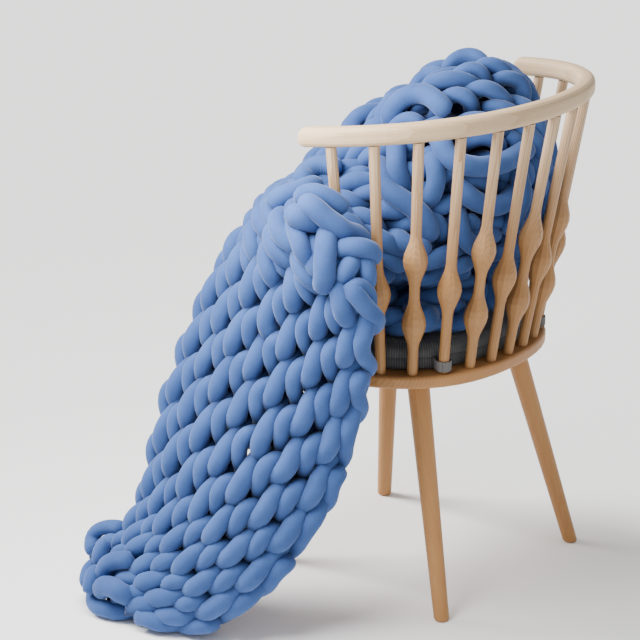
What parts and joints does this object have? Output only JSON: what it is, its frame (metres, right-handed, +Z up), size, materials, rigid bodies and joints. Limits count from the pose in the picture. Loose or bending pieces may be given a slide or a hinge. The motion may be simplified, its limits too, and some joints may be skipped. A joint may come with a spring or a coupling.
{
  "type": "chunky knit blanket draped on a spindle-back chair",
  "caption": "Chunky knit blanket bunched on the seat of a spindle-back wooden chair and hanging over its side to the floor.",
  "frame": {"origin": "on the floor, in the middle of the whole object's box", "axes": "+Z up; the chair faces -Y; its left side, where the blanket hangs down, is at +X"},
  "size_m": [0.8091, 0.5966, 0.8266],
  "materials": {
    "yarn": "matt brushed jersey tube yarn",
    "cushion_cloth": "matt woven grey",
    "warm_wood": "satin, bleached",
    "pale_wood": "satin, bleached"
  },
  "bodies": {
    "root": {"blanket": "yarn", "seat_cushion": "cushion_cloth", "strap_loop_04": "cushion_cloth", "strap_loop_10": "cushion_cloth", "seat_board": "warm_wood", "leg_front_left": "warm_wood", "leg_front_right": "warm_wood", "leg_rear_left": "warm_wood", "leg_rear_right": "warm_wood", "back_rail": "pale_wood", "spindle_01": "pale_wood", "spindle_02": "pale_wood", "spindle_03": "pale_wood", "spindle_04": "pale_wood", "spindle_05": "pale_wood", "spindle_06": "pale_wood", "spindle_07": "pale_wood", "spindle_08": "pale_wood", "spindle_09": "pale_wood", "spindle_10": "pale_wood", "spindle_11": "pale_wood", "spindle_12": "pale_wood", "spindle_13": "pale_wood"}
  },
  "joints": []
}
